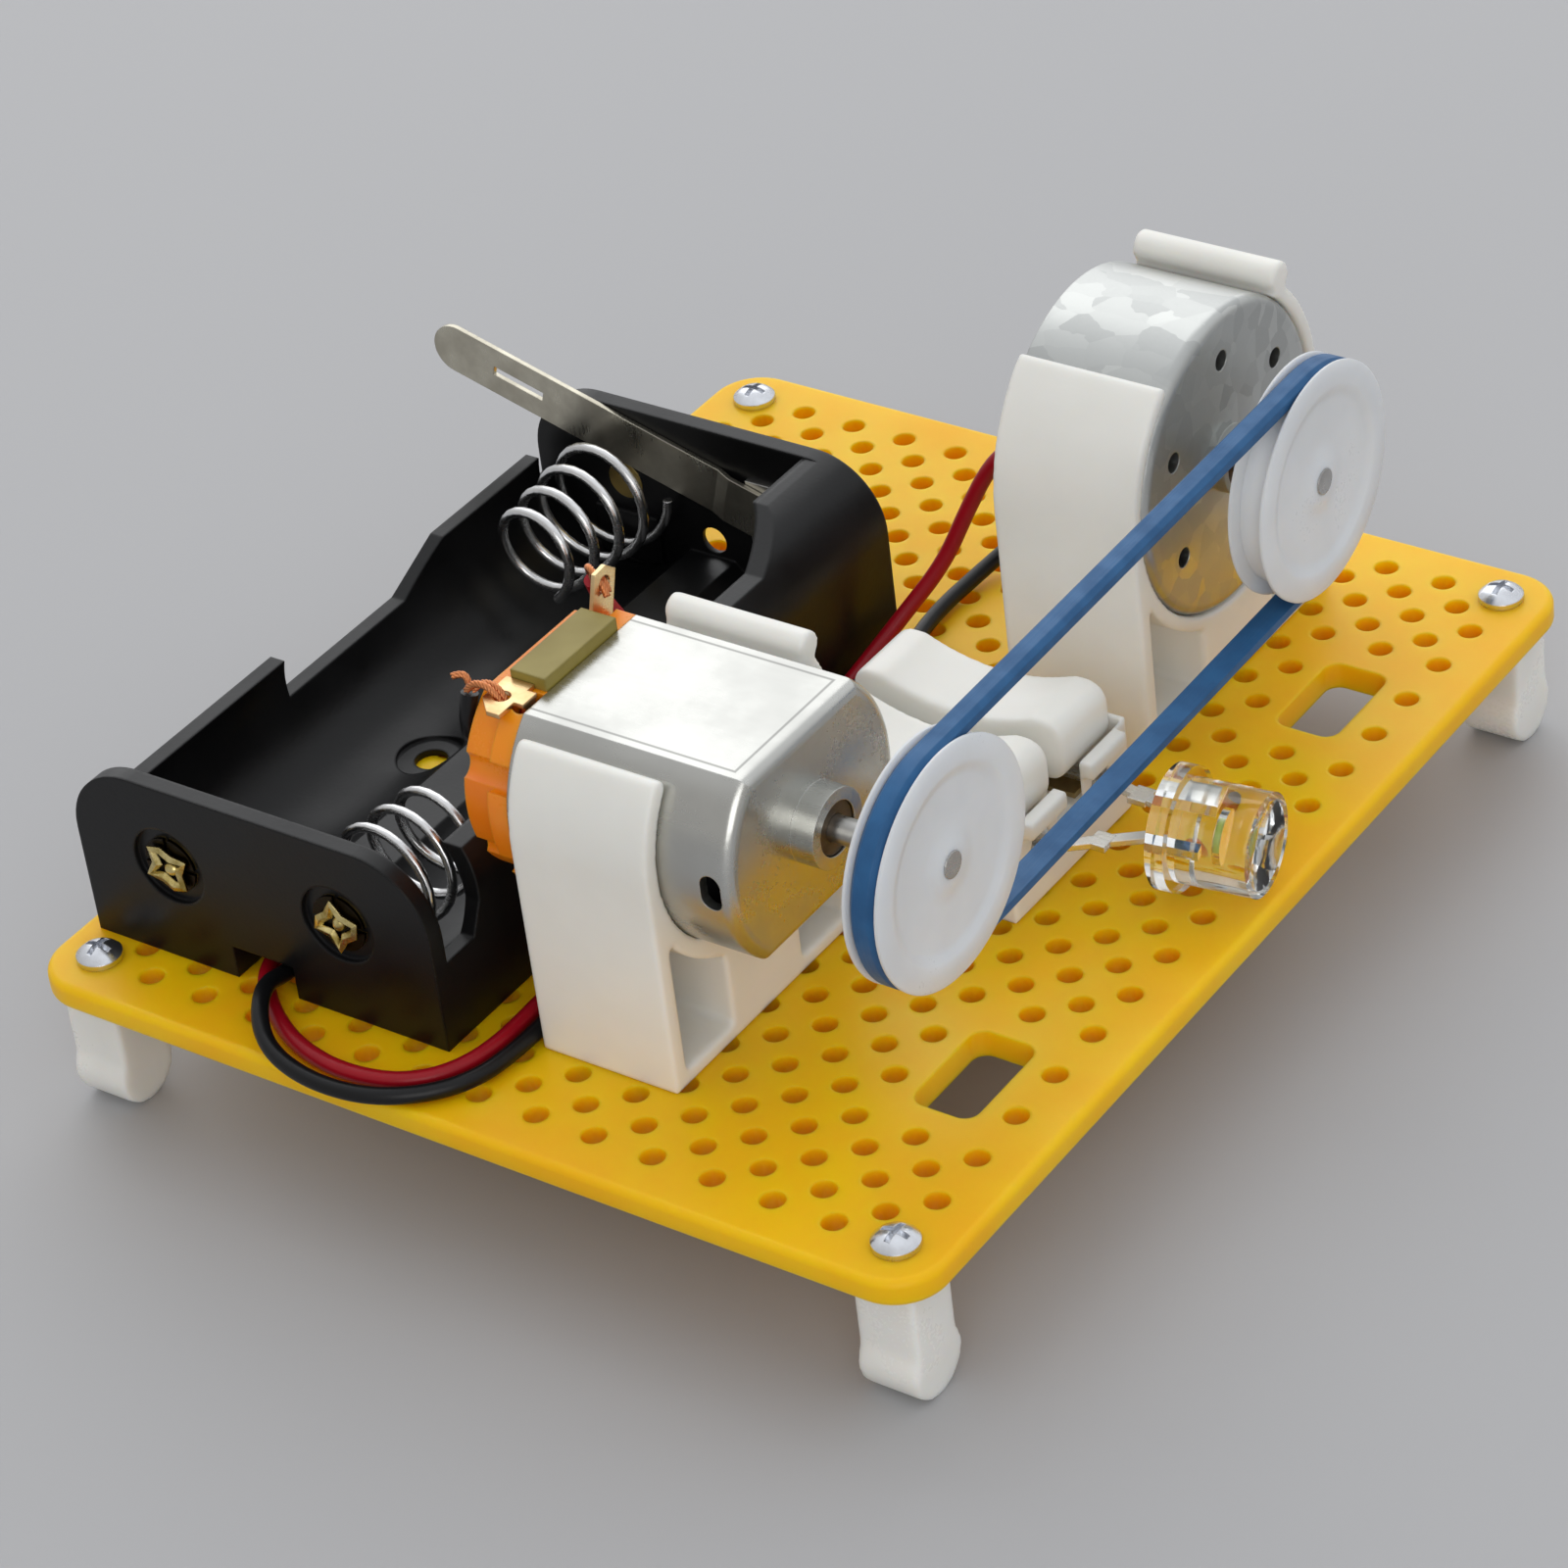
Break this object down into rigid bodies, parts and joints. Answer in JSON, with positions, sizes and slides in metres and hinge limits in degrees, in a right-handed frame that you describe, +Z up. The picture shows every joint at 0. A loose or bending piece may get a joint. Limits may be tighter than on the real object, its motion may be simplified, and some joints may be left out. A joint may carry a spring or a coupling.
{
  "type": "demonstration electric motor",
  "caption": "Small can motor that turns a round generator through pulleys and a flat belt, on a perforated board with battery box, knife switch, clamp block and lamp.",
  "frame": {"origin": "on the floor under the middle of the outline", "axes": "+Z up; +X from the battery box to the pulleys and the lamp; +Y from the can motor to the round generator"},
  "size_m": [0.085, 0.0947, 0.0433],
  "materials": {
    "board_yellow": "satin moulded plastic",
    "foot_white": "milky translucent plastic",
    "screw_steel": "zinc-plated steel",
    "box_black": "semi-gloss moulded plastic",
    "contact_steel": "nickel-plated strip",
    "spring_steel": "nickel-plated wire",
    "rivet_brass": "pressed brass",
    "blade_nickel": "nickel-plated strip",
    "can_steel": "satin plated steel",
    "round_can_steel": "satin grey steel",
    "cap_orange": "translucent amber plastic",
    "pad_olive": "moulded plastic",
    "lug_brass": "tinned brass",
    "magnet_grey": "sintered ferrite",
    "bush_bronze": "sintered bronze",
    "shaft_steel": "ground steel",
    "core_steel": "laminated steel",
    "coil_copper": "enamelled copper wire",
    "comm_copper": "bare copper",
    "cover_brown": "moulded plastic",
    "white_plastic": "satin moulded plastic",
    "belt_blue": "flat elastic band",
    "lens_clear": "clear cast resin",
    "chip_green": "yellow-green chip",
    "leg_silver": "tinned steel",
    "clamp_metal": "spring strip",
    "lead_black": "soft plastic insulation",
    "lead_red": "soft plastic insulation",
    "strand_copper": "bare copper wire"
  },
  "bodies": {
    "chassis": {"base_board": "board_yellow", "foot_near_left": "foot_white", "foot_near_right": "foot_white", "foot_far_left": "foot_white", "foot_far_right": "foot_white", "foot_screws": "screw_steel", "board_screws": "screw_steel", "battery_box": "box_black", "near_flat_contact": "contact_steel", "near_spring_plate": "contact_steel", "pivot_contact": "contact_steel", "contact_rivets": "rivet_brass", "blade_rivet": "rivet_brass", "far_spring_tab": "box_black", "near_spring": "spring_steel", "far_spring": "spring_steel", "drive_motor_can": "can_steel", "drive_end_cap": "cap_orange", "cap_pad": "pad_olive", "drive_lugs": "lug_brass", "drive_magnets": "magnet_grey", "drive_bushings": "bush_bronze", "drive_brushes": "comm_copper", "drive_bracket": "white_plastic", "generator_can": "round_can_steel", "generator_cover": "cover_brown", "generator_lugs": "lug_brass", "generator_magnet": "magnet_grey", "generator_bushings": "bush_bronze", "generator_brushes": "comm_copper", "generator_bracket": "white_plastic", "drive_belt": "belt_blue", "clamp_block": "white_plastic", "lever_pin": "screw_steel", "clamp_strips": "clamp_metal", "lamp_lens": "lens_clear", "lamp_chip": "chip_green", "lamp_legs": "leg_silver", "battery_lead_black": "lead_black", "battery_lead_red": "lead_red", "generator_lead_black": "lead_black", "generator_lead_red": "lead_red", "bared_strands": "strand_copper"},
    "drive_rotor": {"drive_shaft": "shaft_steel", "drive_armature_core": "core_steel", "drive_windings": "coil_copper", "drive_commutator": "comm_copper", "drive_pulley": "white_plastic"},
    "generator_rotor": {"generator_shaft": "shaft_steel", "generator_armature_core": "core_steel", "generator_windings": "coil_copper", "generator_commutator": "comm_copper", "generator_pulley": "white_plastic"},
    "lever_near": {"clamp_lever_near": "white_plastic"},
    "lever_far": {"clamp_lever_far": "white_plastic"},
    "knife": {"switch_blade": "blade_nickel"}
  },
  "joints": [
    {"name": "drive_spin", "type": "hinge", "parent": "chassis", "child": "drive_rotor", "pos_m": [0.00354, -0.0248, 0.0301], "axis": [1, 0, 0], "continuous": true},
    {"name": "generator_spin", "type": "hinge", "parent": "chassis", "child": "generator_rotor", "pos_m": [0.00354, 0.0258, 0.03115], "axis": [1, 0, 0], "continuous": true},
    {"name": "near_lever_press", "type": "hinge", "parent": "chassis", "child": "lever_near", "pos_m": [0.01715, -0.0053, 0.0193], "axis": [0, 1, 0], "range_deg": [-12, 0], "stiffness_Nm_per_rad": 0.04, "springref_deg": 2.86},
    {"name": "far_lever_press", "type": "hinge", "parent": "chassis", "child": "lever_far", "pos_m": [0.01715, 0.0029, 0.0193], "axis": [0, 1, 0], "range_deg": [-12, 0], "stiffness_Nm_per_rad": 0.04, "springref_deg": 2.86},
    {"name": "knife_swing", "type": "hinge", "parent": "chassis", "child": "knife", "pos_m": [-0.00971, 0.0165, 0.0206], "axis": [0, 1, 0], "range_deg": [-13.5, 45]}
  ],
  "couplings": [
    {"joint": "generator_spin", "follows": "drive_spin", "ratio": 1}
  ]
}
